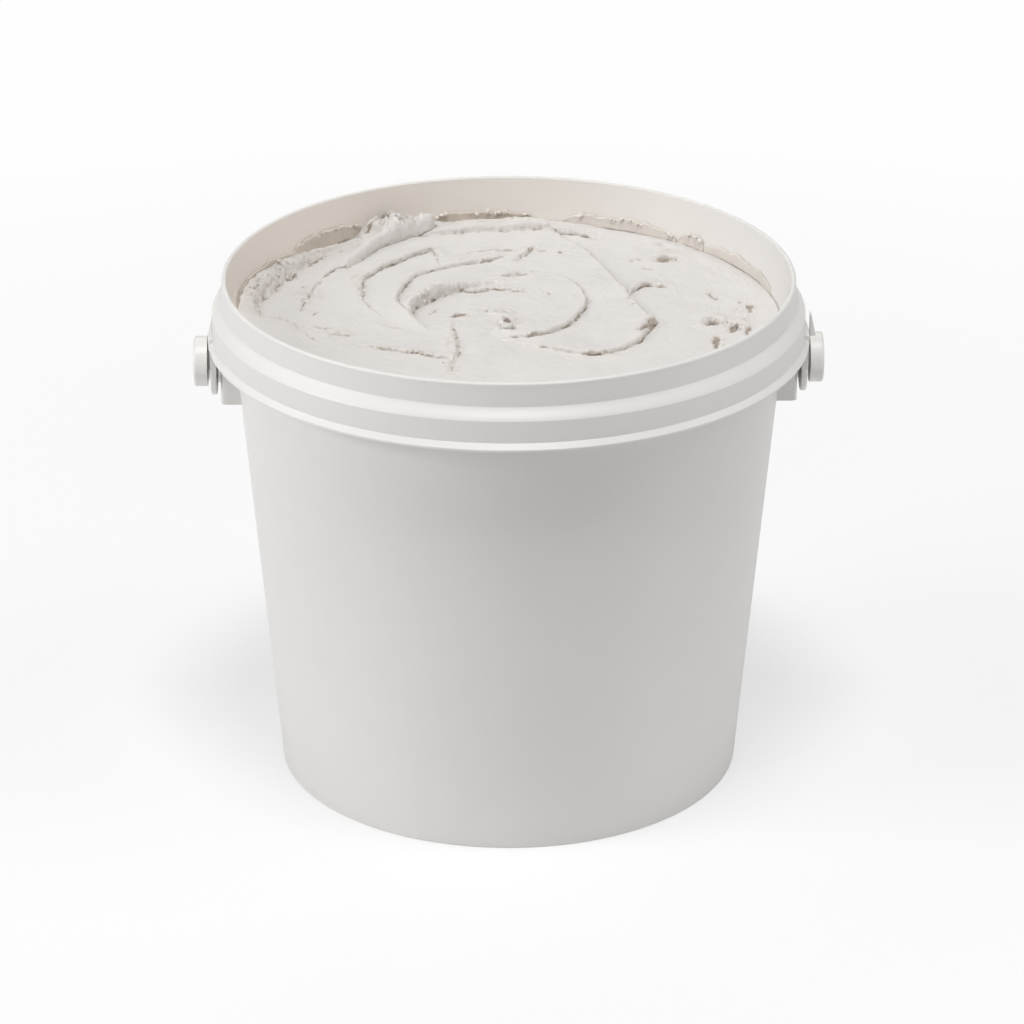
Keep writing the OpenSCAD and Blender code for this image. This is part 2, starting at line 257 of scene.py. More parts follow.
def painted_inner_shade(tree, where, mottle, amount):
    """A mask of painted shade for the inside of the tub, strongest on the left wall.

    Below the throat a point is inside where it is nearer to the middle than the wall's
    thickness allows, and above it where the radius is small.
    """
    place = add_node(tree, "ShaderNodeSeparateXYZ", {"Vector": where}).outputs
    radius = point_math(tree, "LENGTH", point_math(tree, "MULTIPLY", where, (1, 1, 0)))
    lean = number_math(tree, "MULTIPLY", place["Z"], -WALL_FLARE / TUB_H)
    straight = number_math(tree, "ADD", radius, lean)
    inner = (BASE_R - WALL_T) * MM
    below = remap(tree, straight, inner + 0.8 * MM, inner + 1.2 * MM, amount, 0)
    throat = remap(tree, radius, MOUTH_R * MM, (MOUTH_R + 0.4) * MM, amount, 0)
    is_above = number_math(tree, "GREATER_THAN", place["Z"], THROAT_Z * MM)
    inside = number_math(tree, "MAXIMUM", below, number_math(tree, "MULTIPLY", throat, is_above))
    # The painted shade is strongest on the left wall, which faces away from the left lamp
    fades_to_right = remap(tree, place["X"], INSIDE_SHADE_LEFT, INSIDE_SHADE_RIGHT, 1.0, INSIDE_SHADE_RIGHT_SHARE)
    patchy = number_math(tree, "MULTIPLY", fades_to_right, remap(tree, mottle, to_min=0.85))
    return number_math(tree, "MULTIPLY", inside, patchy)


def moulded_plastic(name, light, dark, roughness, marks, wave_depth, inside_shade):
    """Satin white polypropylene: two tones, mould grain, scratches and painted shade inside."""
    material, tree, shader = new_material(name)
    where = add_node(tree, "ShaderNodeTexCoord").outputs["Object"]
    mottle = place_group(tree, soft_mottle, {"Vector": where, "Scale": 18.0}).outputs["Mask"]
    sizes = {"Wave Scale": 26.0, "Wave Depth": wave_depth, "Grain Scale": 1500.0, "Grain Depth": 0.000012}
    grain = place_group(tree, fine_grain, {"Vector": where, **sizes})
    scratch = place_group(tree, handling_marks, {"Vector": where, "Amount": marks}).outputs["Mask"]
    tone = blend(tree, mottle, dark, light)
    # Painted shade: the inside of the tub is painted a darker, warmer beige
    inside_shaded = blend(tree, painted_inner_shade(tree, where, mottle, inside_shade), tone, INSIDE_SHADE_COLOUR)
    gloss = remap(tree, scratch, to_min=roughness, to_max=roughness + SCRATCH_DULLNESS)
    tree.links.new(inside_shaded, shader.inputs["Base Color"])
    tree.links.new(gloss, shader.inputs["Roughness"])
    tree.links.new(grain.outputs["Normal"], shader.inputs["Normal"])
    shader.inputs["IOR"].default_value = 1.49
    shader.inputs["Specular IOR Level"].default_value = 0.42
    return material


handling_marks = build_handling_marks()
tub_plastic = moulded_plastic(
    "tub_plastic",
    light=(0.805, 0.79, 0.77),
    dark=(0.785, 0.77, 0.748),
    roughness=0.42,
    marks=1.0,
    wave_depth=0.0002,
    # How strongly the inside is painted with shade
    inside_shade=0.9,
)
bail_plastic = moulded_plastic(
    "bail_plastic",
    light=(0.80, 0.782, 0.758),
    dark=(0.782, 0.763, 0.738),
    roughness=0.38,
    marks=0.6,
    wave_depth=0.00005,
    inside_shade=0,
)
for node_name, finish in (("tub_body", tub_plastic), ("bail", bail_plastic)):
    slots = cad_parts[node_name].data.materials
    slots.clear()
    slots.append(finish)
    print(finish.name, "on", node_name)

# %% [markdown]
# ## Filler
# Ready-mixed filler is chalk in a little binder and water: warm off-white, nearly matt, with
# a dull damp sheen where the trowel has smoothed it and a drier, rougher look where it tore.
# The colour follows a mask painted on the mesh from how torn each spot is, mixed with a
# slow mottle. Where the mask is highest, in the crack at the foot of each torn side and in
# the pits, the colour turns dark as a painted shade. The bump has the drag lines of coarse
# grains as well as fine grit.


# %% Make the filler materials
TORN = "torn"
SWIRL_Y = 12.0
DRAG_SPACING = 1.1
DRAG_DEPTH = 0.22


def filler_paste(name, smooth, rough, torn_colour, crack_shade_and_film_edge):
    """Damp chalky paste, smooth where the trowel slid and crumbly where the mesh is torn."""
    material, tree, shader = new_material(name)
    where = add_node(tree, "ShaderNodeTexCoord").outputs["Object"]
    painted = add_node(tree, "ShaderNodeAttribute", attribute_name=TORN, attribute_type="GEOMETRY")
    torn = painted.outputs["Fac"]
    mottle = place_group(tree, soft_mottle, {"Vector": where, "Scale": 70.0}).outputs["Mask"]
    sizes = {"Wave Scale": 330.0, "Wave Depth": 0.00035, "Grain Scale": 1400.0, "Grain Depth": 0.00012}
    grain = place_group(tree, fine_grain, {"Vector": where, **sizes})
    # Read by distance from the middle of the swirl, a noise draws rings, and the bearing breaks them
    from_middle = point_math(tree, "SUBTRACT", where, (0, SWIRL_Y * MM, 0))
    level = point_math(tree, "MULTIPLY", from_middle, (1, 1, 0))
    rings = number_math(tree, "MULTIPLY", point_math(tree, "LENGTH", level), 1 / DRAG_SPACING / MM)
    along = point_math(tree, "MULTIPLY", point_math(tree, "NORMALIZE", level), (1.2, 1.2, 0))
    stretched = add_node(tree, "ShaderNodeCombineXYZ", {"Z": rings}).outputs["Vector"]
    twisted = point_math(tree, "ADD", stretched, along)
    drag = add_node(
        tree, "ShaderNodeTexNoise", {"Vector": twisted, "Scale": 1.0, "Detail": 2.0, "Distortion": 0.4}
    )
    dragged = add_node(
        tree,
        "ShaderNodeBump",
        {
            "Height": drag.outputs["Fac"],
            "Distance": DRAG_DEPTH * MM,
            "Strength": 1.0,
            "Normal": grain.outputs["Normal"],
        },
    )
    tone = blend(tree, mottle, rough, smooth)
    crumbled = blend(tree, torn, tone, torn_colour)
    # Painted shade: where the mask is highest, in the cracks and pits, the paste turns dark
    shaded = blend(tree, remap(tree, torn, 0.5, 0.95), crumbled, crack_shade_and_film_edge)
    tree.links.new(shaded, shader.inputs["Base Color"])
    tree.links.new(remap(tree, torn, to_min=0.55, to_max=0.85), shader.inputs["Roughness"])
    tree.links.new(dragged.outputs["Normal"], shader.inputs["Normal"])
    shader.inputs["Specular IOR Level"].default_value = 0.3
    return material


paste = filler_paste(
    "filler_paste",
    smooth=(0.735, 0.71, 0.687),
    rough=(0.705, 0.678, 0.655),
    torn_colour=(0.63, 0.575, 0.52),
    # Painted shade in the cracks and pits
    crack_shade_and_film_edge=(0.38, 0.32, 0.265),
)
dried_film = filler_paste(
    "dried_film",
    smooth=(0.65, 0.585, 0.515),
    rough=(0.59, 0.525, 0.455),
    # The film's torn and deepest colours make its upper edge and beads paler
    torn_colour=(0.70, 0.64, 0.57),
    crack_shade_and_film_edge=(0.74, 0.69, 0.63),
)
pale_film = filler_paste(
    "pale_film",
    smooth=(0.735, 0.69, 0.64),
    rough=(0.70, 0.65, 0.60),
    # The film's torn and deepest colours make its upper edge and beads paler
    torn_colour=(0.79, 0.745, 0.68),
    crack_shade_and_film_edge=(0.80, 0.76, 0.70),
)
print("filler materials:", paste.name, dried_film.name, pale_film.name)

# %% [markdown]
# ## The stirred surface
# The filler's top is one skin, so it is spun from a single line of points, from the middle
# out to the wall, down the wall and in under the bottom. Only the top is then moved. Every
# trowel stroke is a smooth curve with a high side and a steep torn side. For each point of
# the skin the script finds the nearest spot on the curve and how far to which side it lies,
# and lifts the point by the stroke's own profile. Near the crest it also pushes the point
# out over the steep side, which makes the paste curl over as thick paste does.

# %% Spin the blank skin of the filler
SURFACE_Z = 189.1
WALL_GAP = 0.35
TURNS = 264
RING_STEP = 1.3
FLOOR_TOP = 3.8
WALL_HEIGHTS = (182.0, 150.0, 100.0, 50.0, 12.0)
CORNER_Z = 8.0
CORNER_STEPS = ((1.6, 6.2), (5.0, FLOOR_TOP))


def cavity_radius(z):
    """Inner radius of the tub's tapered wall at a height, in millimetres."""
    return BASE_R + WALL_FLARE / TUB_H * z - WALL_T


top_radius = cavity_radius(SURFACE_Z) - WALL_GAP
ring_count = round(top_radius / RING_STEP)
profile = [(top_radius * i / ring_count, SURFACE_Z) for i in range(ring_count + 1)]
profile += [(cavity_radius(z) - WALL_GAP, z) for z in WALL_HEIGHTS]
profile += [(cavity_radius(CORNER_Z) - inward, z) for inward, z in CORNER_STEPS]
profile.append((0.0, FLOOR_TOP))

filler_mesh = bmesh.new()
torn_layer = filler_mesh.verts.layers.float.new(TORN)
line = [filler_mesh.verts.new((r * MM, 0, z * MM)) for r, z in profile]
edges = [filler_mesh.edges.new(pair) for pair in zip(line, line[1:])]
bmesh.ops.spin(
    filler_mesh,
    geom=line + edges,
    cent=(0, 0, 0),
    axis=(0, 0, 1),
    dvec=(0, 0, 0),
    angle=2 * math.pi,
    steps=TURNS,
    use_merge=True,
)
bmesh.ops.remove_doubles(filler_mesh, verts=filler_mesh.verts, dist=1e-6)
bmesh.ops.recalc_face_normals(filler_mesh, faces=filler_mesh.faces)
print("blank skin:", len(filler_mesh.verts), "points", len(filler_mesh.faces), "faces")

# %% [markdown]
# ### The strokes
# The strokes are listed below. Points are in millimetres seen from above, X to the
# right and Y to the back. `rise` is the height of the crest, `cliff` the width of the steep
# side, `bank` how far the high side takes to fall away, `curl` how far the paste leans out
# over the steep side, `roll` where on that side it leans most (0 at the crest, 1 at the
# foot), `crack` how deep the foot is undercut and `tear` how ragged the edge is. `high`
# says which side of the curve stands higher: "out" is the side away from the middle of the
# swirl and "in" is the side towards it.

# %% Write down the strokes of the trowel
SWIRL_MIDDLE = np.array([0.0, SWIRL_Y])

strokes = [
    dict(
        name="left_bank", high="out", rise=4.2, cliff=3.0, bank=24.0,
        curl=1.0, roll=0.3, crack=0.9, tear=0.8,
        points=[
            (-102, -2), (-102.5, 4), (-102.5, 9), (-101, 18), (-97, 29.5), (-92, 42), (-86, 53.5),
            (-78, 66), (-70, 75), (-62, 80), (-55, 85),
        ],
        heights=[0.1, 0.6, 0.9, 1.05, 1.1, 1.0, 0.85, 0.6, 0.4, 0.35, 0.2],
    ),
    dict(
        name="folded_roll", high="out", rise=3.2, cliff=1.5, bank=4.5,
        curl=1.8, roll=0.5, crack=1.5, tear=0.22,
        points=[
            (-68, 51), (-66, 55), (-64, 58), (-60, 65), (-54, 76), (-47, 83.5), (-40, 90),
            (-34, 94), (-31, 100),
        ],
        heights=[0.15, 0.5, 0.8, 1.0, 1.15, 1.25, 1.3, 1.0, 0.2],
    ),
    dict(
        name="lump_tail", high="out", rise=2.0, cliff=1.4, bank=14.0,
        curl=0.4, roll=0.3, crack=0.4, tear=0.3,
        points=[(-35, 90), (-24, 92), (-10, 94.5), (4, 96), (16, 95.5), (25, 93), (33, 88)],
        heights=[0.4, 1.0, 1.0, 1.0, 0.9, 0.6, 0.1],
    ),
    dict(
        name="thin_lip", high="out", rise=1.3, cliff=0.6, bank=4.5,
        curl=0.6, roll=0.2, crack=1.2, tear=0.75,
        points=[
            (-51.5, 0), (-56, 8), (-59, 19), (-59.5, 29), (-58, 40), (-51.5, 51), (-43, 62),
            (-37.5, 68), (-32, 72.5), (-29.5, 70), (-27, 56),
        ],
        heights=[0.1, 0.35, 0.6, 0.8, 0.9, 1.0, 1.1, 1.2, 1.15, 0.9, 0.2],
    ),
    dict(
        name="middle_lip", high="out", rise=1.1, cliff=0.6, bank=6.0,
        curl=0.5, roll=0.3, crack=0.9, tear=0.35,
        points=[
            (-31, -13), (-38.5, -5), (-43.5, 6), (-45, 15.5), (-44, 25), (-41, 36.5), (-36, 45.5),
            (-28.5, 52.5), (-17, 58), (-7, 62.5), (0, 68),
        ],
        heights=[0.1, 0.5, 0.9, 1.1, 1.2, 1.1, 1.0, 0.8, 1.0, 0.8, 0.1],
    ),
    dict(
        name="inner_cliff", high="out", rise=3.3, cliff=1.7, bank=5.0,
        curl=1.0, roll=0.25, crack=1.2, tear=0.4,
        points=[
            (-32.5, -13), (-38, -6), (-40, 2), (-39, 9.5), (-34.5, 16.5), (-28.5, 23),
            (-22.5, 28.5), (-16, 32.5), (-7, 36.5), (3, 38),
        ],
        heights=[0.1, 0.45, 0.85, 1.05, 1.15, 1.1, 0.8, 0.5, 0.3, 0.1],
    ),
    dict(
        name="inner_scrape", high="out", rise=0.9, cliff=0.6, bank=2.5,
        curl=0.4, roll=0.3, crack=1.1, tear=0.8,
        points=[(-22, 30), (-14, 27), (-7, 30), (1, 29), (9, 28)],
        heights=[0.1, 1.0, 0.9, 0.6, 0.1],
    ),
    dict(
        name="ring_dashes", high="out", rise=0.6, cliff=0.5, bank=2.0,
        curl=0.3, roll=0.3, crack=0.9, tear=0.9,
        points=[(-83, 2), (-82.5, 8), (-82, 16), (-79, 26), (-76, 38), (-72, 48), (-67, 53)],
        heights=[0.1, 1.0, 0.6, 0.9, 0.5, 1.0, 0.4],
    ),
    dict(
        name="disc_edge", high="in", rise=1.3, cliff=0.6, bank=12.0,
        curl=0.6, roll=0.3, crack=0.8, tear=0.22,
        points=[
            (-3.5, -22), (3, -22), (10, -21.5), (16, -17), (23, -8), (27.5, 3), (30, 12.5),
            (29.5, 22), (26, 34.5), (21, 42), (10.5, 49.5), (-3.5, 52),
        ],
        heights=[0.1, 0.5, 1.1, 1.2, 1.15, 1.15, 1.1, 0.9, 0.6, 0.4, 0.2, 0.1],
    ),
    dict(
        name="outer_lip", high="in", rise=1.6, cliff=0.7, bank=13.0,
        curl=0.7, roll=0.3, crack=0.8, tear=0.32,
        points=[
            (15, 98), (22, 85), (30, 72), (36, 55.5), (42.5, 35.5), (46, 22.5), (50, 10.5),
            (54, -2), (57, -8), (55.5, -14), (52, -23), (48, -30), (42.5, -36), (33.5, -40),
            (25, -37.5), (16, -33), (8, -30), (-3.5, -24),
        ],
        heights=[
            0.1, 0.5, 0.7, 0.9, 1.0, 1.0, 1.05, 1.15, 1.2,
            1.15, 1.1, 0.95, 0.9, 0.85, 0.75, 0.6, 0.3, 0.1,
        ],
    ),
    dict(
        name="right_pocket", high="in", rise=1.4, cliff=0.7, bank=5.0,
        curl=0.6, roll=0.3, crack=0.8, tear=0.4,
        points=[(47.5, 19.5), (48.4, 23.8), (51.6, 30), (55.5, 32.6), (61.6, 31), (67, 29.5)],
        heights=[0.2, 0.9, 1.1, 1.0, 0.7, 0.1],
    ),
    dict(
        name="front_gouge", high="in", rise=0.9, cliff=0.5, bank=3.0,
        curl=0.4, roll=0.3, crack=1.4, tear=0.7,
        points=[(-58, -31.5), (-48, -34.5), (-39.5, -38.5), (-31, -42), (-24.5, -45)],
        heights=[0.3, 1.0, 1.0, 1.0, 0.5],
    ),
    dict(
        name="knife_line", high="out", rise=0.8, cliff=0.9, bank=5.0,
        curl=0.1, roll=0.3, crack=0.8, tear=0.8,
        points=[(-23, -5), (-22, -21), (-20.5, -36.5), (-22.5, -50), (-24.5, -61)],
        heights=[0.1, 0.8, 1.0, 0.7, 0.1],
    ),
    dict(
        name="left_scratch", high="out", rise=0.6, cliff=0.5, bank=2.5,
        curl=0.1, roll=0.3, crack=0.9, tear=0.6,
        points=[(-97.5, -1), (-86.5, -8), (-82, -16.5), (-74, -30)],
        heights=[0.1, 0.9, 0.9, 0.1],
    ),
    dict(
        name="back_line", high="out", rise=0.6, cliff=0.6, bank=3.0,
        curl=0.1, roll=0.3, crack=0.4, tear=0.3,
        points=[(-24, 68), (-10, 72), (4, 73), (18, 70), (28, 64)],
        heights=[0.1, 0.9, 1.0, 0.7, 0.1],
    ),
]
print(len(strokes), "strokes")

# %% [markdown]
# ### Pits, crumbly patches and the gap at the wall
# Air and lumps leave short pits where the trowel drags. Each is a point, half a length,
# half a width, a direction and a depth, and its middle is painted dark as a painted shade.
# A crumbly patch has the same shape, with the height and size of its crumbs. Heaps are the
# same shape again and rise instead. Along the left wall the paste has been dragged away and
# has left a dark trench, given here as a depth against the angle round the tub.

# %% Write down the pits, the patches and the trench
heaps = [
    # x, y, half length, half width, direction, height
    (-52, 92, 13, 11, 32, 6.2), (-36, 98, 9, 6, 18, 3.0), (8, 100, 14, 7, -5, 1.0),
]
pits = [
    # x, y, half length, half width, direction, depth
    (80, -7.5, 4.4, 3.0, 70, 3.4), (63.2, 60.8, 5.0, 3.4, 15, 1.7), (93.8, -17, 6.5, 1.2, 85, 1.0),
    (95.6, 7, 5.0, 1.9, 85, 0.7), (88.5, -13, 6.0, 1.7, 78, 1.7), (81, -28, 8.0, 1.6, 88, 1.3),
    (80.8, 20.6, 5.0, 1.2, 110, 1.6), (61.3, 76.9, 2.0, 1.3, 0, 1.8), (69, 77.6, 2.2, 1.0, 50, 3.0),
    (51, 60, 3.5, 0.8, 20, 0.9), (56.8, -9, 2.4, 1.8, 10, 2.6), (54, -15.5, 6.0, 2.0, 62, 1.6),
    (48, 14.5, 0.9, 0.8, 30, 1.3), (49.5, 8.5, 0.9, 0.8, 30, 1.3), (22.4, 90.5, 5.5, 1.7, -15, 3.0),
    (31, 87.5, 8.0, 0.9, -24, 1.9), (6.6, 67, 9.0, 1.2, 61, 2.6), (1.5, 44, 6.0, 2.0, 12, 2.6),
    (14, 26, 4.0, 0.6, -20, 0.9), (1, -13.8, 3.8, 2.4, 10, 4.0), (-2.4, 6, 2.8, 1.8, 20, 2.8),
    (-0.2, -4, 4.8, 1.6, 100, 2.4), (10, -21.5, 3.5, 0.9, 10, 1.6), (92, 14, 2.0, 1.0, 60, 1.1),
    (-19.2, 1.6, 4.5, 1.8, 30, 1.5), (-73, -14, 3.5, 1.1, -15, 1.7),
    (-66, -20.5, 5.0, 0.8, -15, 1.2), (-12, 61, 7.0, 0.9, 10, 1.5), (-30, 5, 3.0, 0.8, 60, 0.7),
    (-8, 8, 5.0, 0.6, 35, 0.8), (-82, 30, 1.6, 0.8, 60, 1.0), (72, 4, 2.0, 0.7, 20, 0.8),
    (-76, 2, 2.4, 0.8, 50, 0.8), (33, -40, 4.0, 0.7, 0, 0.9), (30, 74, 2.0, 0.8, 120, 0.8),
    (56, 50, 5.0, 0.6, -25, 0.7), (-46, -12, 5.0, 0.5, -30, 0.7), (-50, 92.5, 5.5, 1.8, 25, 3.0),
    (-57, 85, 4.0, 1.0, 55, 1.6), (-42, 91, 5.0, 1.0, 25, 1.4),
]
crumbly = [
    # x, y, half length, half width, direction, crumb height, crumb size
    (-100, 10, 12, 3.4, 82, 1.9, 2.4), (-97, 26.5, 11, 3.4, 72, 2.0, 2.4),
    (-90, 44, 11, 3.4, 62, 2.0, 2.4), (-80.5, 59, 10, 3.4, 50, 1.7, 2.4),
    (-51, 91, 14, 9.0, 35, 3.4, 4.2), (-36, 98, 12, 5.0, 18, 1.6, 4.6),
    (-10, 102, 24, 4.0, 2, 0.9, 3.5), (65, 62, 6, 3.5, -20, 1.4, 2.4),
    (1, 45, 12, 3.0, 12, 1.1, 2.2), (0, -5, 6, 8.0, 100, 1.2, 2.4), (90, -9, 7, 8.0, 60, 1.1, 2.8),
    (-69, -17, 12, 4.0, -20, 0.7, 2.6), (-22, -56, 4, 9.0, 0, 0.8, 2.6),
    (-30, 21, 12, 4.0, 45, 1.2, 2.0), (-60, 34, 4, 16.0, 5, 0.7, 2.2),
    (54, -14, 5, 4.0, 60, 1.1, 2.0), (-21, -34, 4, 12.0, 5, 0.8, 2.4),
    (62, 92, 16, 4.0, -40, 0.5, 3.0), (-40, -39, 14, 3.0, -20, 0.5, 2.4),
    (-80, 20, 10, 8.0, 70, 0.5, 2.8), (-18, 0, 5, 4.0, 20, 1.0, 2.0),
    (-63, 39, 5, 3.0, 40, 0.9, 2.0), (81, -31, 8, 4.0, 88, 0.8, 2.4),
    (34, -41, 12, 2.5, 0, 0.5, 2.2), (-50, 92, 12, 8.0, 30, 2.4, 2.0),
    (65, 68.6, 5, 4.0, 30, 0.9, 2.0), (55, -13, 7, 4.0, 62, 1.4, 1.6),
    (95.5, 5, 7, 2.6, 85, 1.6, 1.4), (92, -4, 4, 16.0, 5, 0.9, 2.0), (81, -7, 7, 6.0, 60, 1.0, 1.7),
]
trench_angles = [0, 20, 60, 88, 104, 118, 124, 130, 138, 145, 150, 176, 188, 360]
trench_depths = [0, 0.5, 0.9, 0.7, 0.8, 0.4, 2.8, 3.2, 2.4, 1.2, 1.0, 1.0, 0, 0]
TRENCH_WIDTH = 5.5

# %% [markdown]
# ### Measuring against a stroke
# NumPy does the same sum for tens of thousands of points at once. The distance to a stroke
# is worked out on a finely cut copy of its curve, and only for the points near it.


# %% Functions for the shape of a stroke
def smooth_curve(points, values, per_span=12):
    """Cuts a stroke's curve finely, with a value carried along it (Catmull-Rom)."""
    p = np.array([(*xy, v) for xy, v in zip(points, values)], float)
    p = np.vstack([2 * p[0] - p[1], p, 2 * p[-1] - p[-2]])
    cut = []
    for before, here, after, last in zip(p, p[1:], p[2:], p[3:]):
        for s in np.linspace(0, 1, per_span, endpoint=False):
            bend = (2 * before - 5 * here + 4 * after - last) * s**2
            twist = (3 * here - before - 3 * after + last) * s**3
            cut.append((2 * here + (after - before) * s + bend + twist) / 2)
    cut.append(p[-2])
    return np.array(cut)


def ease(x):
    """0 below 0, 1 above 1 and an S-shaped step between."""
    x = np.clip(x, 0, 1)
    return x * x * (3 - 2 * x)


def hump(x, middle, width):
    """A smooth bump, 1 at its middle."""
    return np.exp(-(((x - middle) / width) ** 2))


def field(xy, scale, seed, octaves=3):
    """Fractal noise about 0 at each point, scale in millimetres."""
    return np.array([noise.fractal((x / scale, y / scale, seed), 0.8, 2.1, octaves) for x, y in xy])


def crumbs_field(xy, scale, seed):
    """Billowing noise about 0, round on top and creased between, like crumbs."""
    return np.array([0.5 - noise.turbulence((x / scale, y / scale, seed), 4, True) for x, y in xy])


# How many points are measured at once, so that the sums fit into memory
BATCH = 8000


def near_stroke(stroke, xy, reach):
    """The points within reach of a stroke, with their side, height share and the curve's normal."""
    curve = smooth_curve(stroke["points"], stroke["heights"])
    low, high = curve[:, :2].min(0) - reach, curve[:, :2].max(0) + reach
    chosen = np.flatnonzero(((xy > low) & (xy < high)).all(1))
    near = xy[chosen]
    nearest = np.concatenate(
        [
            ((near[i : i + BATCH, None, :] - curve[None, :, :2]) ** 2).sum(2).argmin(1)
            for i in range(0, len(near), BATCH)
        ]
    )
    tangent = np.gradient(curve[:, :2], axis=0)
    tangent /= np.linalg.norm(tangent, axis=1)[:, None]
    normal = np.column_stack([-tangent[:, 1], tangent[:, 0]])
    outward = (normal * (curve[:, :2] - SWIRL_MIDDLE)).sum(1).mean()
    normal *= np.sign(outward) * (1 if stroke["high"] == "out" else -1)
    offset = near - curve[nearest, :2]
    side = (offset * normal[nearest]).sum(1)
    past_end = np.abs((offset * tangent[nearest]).sum(1))
    height = np.clip(curve[nearest, 2], 0, 2) * hump(past_end, 0, 2.0)
    return chosen, side, height, normal[nearest]


def patch_reach(xy, x, y, half_length, half_width, direction):
    """Distance from a patch's middle, as 1 at its edge."""
    a = math.radians(direction)
    away = xy - (x, y)
    u = (away[:, 0] * math.cos(a) + away[:, 1] * math.sin(a)) / half_length
    v = (-away[:, 0] * math.sin(a) + away[:, 1] * math.cos(a)) / half_width
    return np.sqrt(u * u + v * v)


# %% [markdown]
# ### Finer mesh where the paste is torn
# Fine detail needs close points, but a fine mesh everywhere would be far too heavy. The skin
# is cut finer twice, first round the strokes, pits and patches and then close to the torn
# edges only.

# %% Cut the skin finer near the strokes
turn_cos, turn_sin = math.cos(VIEW_TURN), math.sin(VIEW_TURN)
turn = np.array([[turn_cos, turn_sin], [-turn_sin, turn_cos]])
PATCH_EDGE = 1.1


def skin_points():
    """The points of the top skin, and where each lies seen from the camera's side."""
    top = [v for v in filler_mesh.verts if v.co.z > (SURFACE_Z - 0.01) * MM]
    return top, np.array([(v.co.x / MM, v.co.y / MM) for v in top]) @ turn


def cut_finer(before_edge, behind_edge, patches):
    """Halves every edge of the skin that lies near a torn edge or in a patch."""
    top, xy = skin_points()
    close = np.zeros(len(top), bool)
    for stroke in strokes:
        chosen, side, height, _ = near_stroke(stroke, xy, behind_edge + 2)
        close[chosen] |= (side > -before_edge) & (side < behind_edge) & (height > 0.02)
    for patch in patches:
        close |= patch_reach(xy, *patch[:5]) < PATCH_EDGE
    near_verts = {v for v, is_close in zip(top, close) if is_close}
    chosen_edges = [e for e in filler_mesh.edges if all(v in near_verts for v in e.verts)]
    bmesh.ops.subdivide_edges(filler_mesh, edges=chosen_edges, cuts=1, use_grid_fill=True)
    print("cut finer:", len(filler_mesh.faces), "faces")


cut_finer(4.0, 5.4, pits + crumbly)
cut_finer(1.9, 1.7, pits + crumbly[:7])

# %% Lift the skin stroke by stroke
EDGE_TINT = 0.12
TEAR_TINT = 0.38

top_points, seen = skin_points()
flat = seen @ turn.T
wall_near = top_radius - np.linalg.norm(flat, axis=1)
ragged = field(seen, 4.2, 3.1, 4)
fine = field(seen, 1.5, 7.7, 3)
lift = np.zeros(len(seen))
shift = np.zeros((len(seen), 2))
torn = np.zeros(len(seen))

for stroke in strokes:
    cliff, bank, tear = stroke["cliff"], stroke["bank"], stroke["tear"]
    chosen, side, height, normal = near_stroke(stroke, seen, 2.6 * bank)
    side = side + tear * (1.3 * ragged[chosen] + 0.6 * fine[chosen] / max(1, cliff))
    rise = stroke["rise"] * height * (1 + 0.3 * tear * ragged[chosen])
    # The steep face, the high side falling away, a lip along the crest and the undercut foot
    face = ease(side / cliff + 1)
    fall = np.where(side > 0, hump(side, 0, bank), 1)
    lip = 0.18 * hump(side, 0.4 * cliff, 0.8 * cliff + 0.3)
    crack = stroke["crack"] * height * hump(side, -1.25 * cliff, 0.35 * cliff + 0.35)
    lift[chosen] += rise * (face * fall + lip) - crack
    lean = hump(side, -stroke["roll"] * cliff, 0.8 * cliff) * np.minimum(height, 1)
    shift[chosen] -= normal * (stroke["curl"] * lean)[:, None]
    # The mask of the colour: pale tan along the edge, and dark in the crack at the foot as a painted shade
    edge = (EDGE_TINT + TEAR_TINT * tear) * hump(side, -0.4 * cliff, 1.2 * cliff)
    painted_crack_mask = hump(side, -1.15 * cliff, 0.3 * cliff + 0.35) * np.clip(0.55 + 1.6 * ragged[chosen], 0.15, 1)
    torn[chosen] = np.maximum(torn[chosen], np.maximum(edge, painted_crack_mask) * np.clip(2 * height, 0, 1))
print("highest stroke", round(float(lift.max()), 1), "mm")

# %% Add the pits, the crumbly patches and the trench at the wall
# How dark the middle of a pit is painted, a painted shade in the hollow
PIT_PAINTED_SHADE = 0.85
CRUMB_TINT = 0.5
CRUMB_SEED = 20.0

for x, y, half_length, half_width, direction, depth in pits:
    reach = patch_reach(seen, x, y, half_length, half_width, direction) + 0.4 * ragged
    hole = 1 - ease((reach - 0.45) / 0.6)
    lift += depth * (0.22 * hump(reach, 1.45, 0.35) - hole)
    # The middle of each pit is painted dark, a painted shade in the hollow
    torn = np.maximum(torn, PIT_PAINTED_SHADE * (1 - ease((reach - 0.6) / 0.6)))

for *place, height in heaps:
    lift += height * (1 - ease((patch_reach(seen, *place) + 0.12 * ragged - 0.35) / 0.75))

for i, (*place, crumb_height, crumb_size) in enumerate(crumbly):
    reach = patch_reach(seen, *place)
    inside = np.flatnonzero(reach < 1.4)
    strength = 1 - ease((reach[inside] + 0.3 * ragged[inside] - 0.6) / 0.7)
    lift[inside] += crumb_height * strength * crumbs_field(seen[inside], crumb_size, CRUMB_SEED + i)
    tint = CRUMB_TINT * strength * np.clip(0.6 + ragged[inside], 0, 1)
    torn[inside] = np.maximum(torn[inside], tint)

angle = np.degrees(np.arctan2(seen[:, 1], seen[:, 0])) % 360
trench = np.interp(angle, trench_angles, trench_depths)
lift -= trench * (1 - ease((wall_near + 1.0 * ragged - 0.4) / TRENCH_WIDTH))

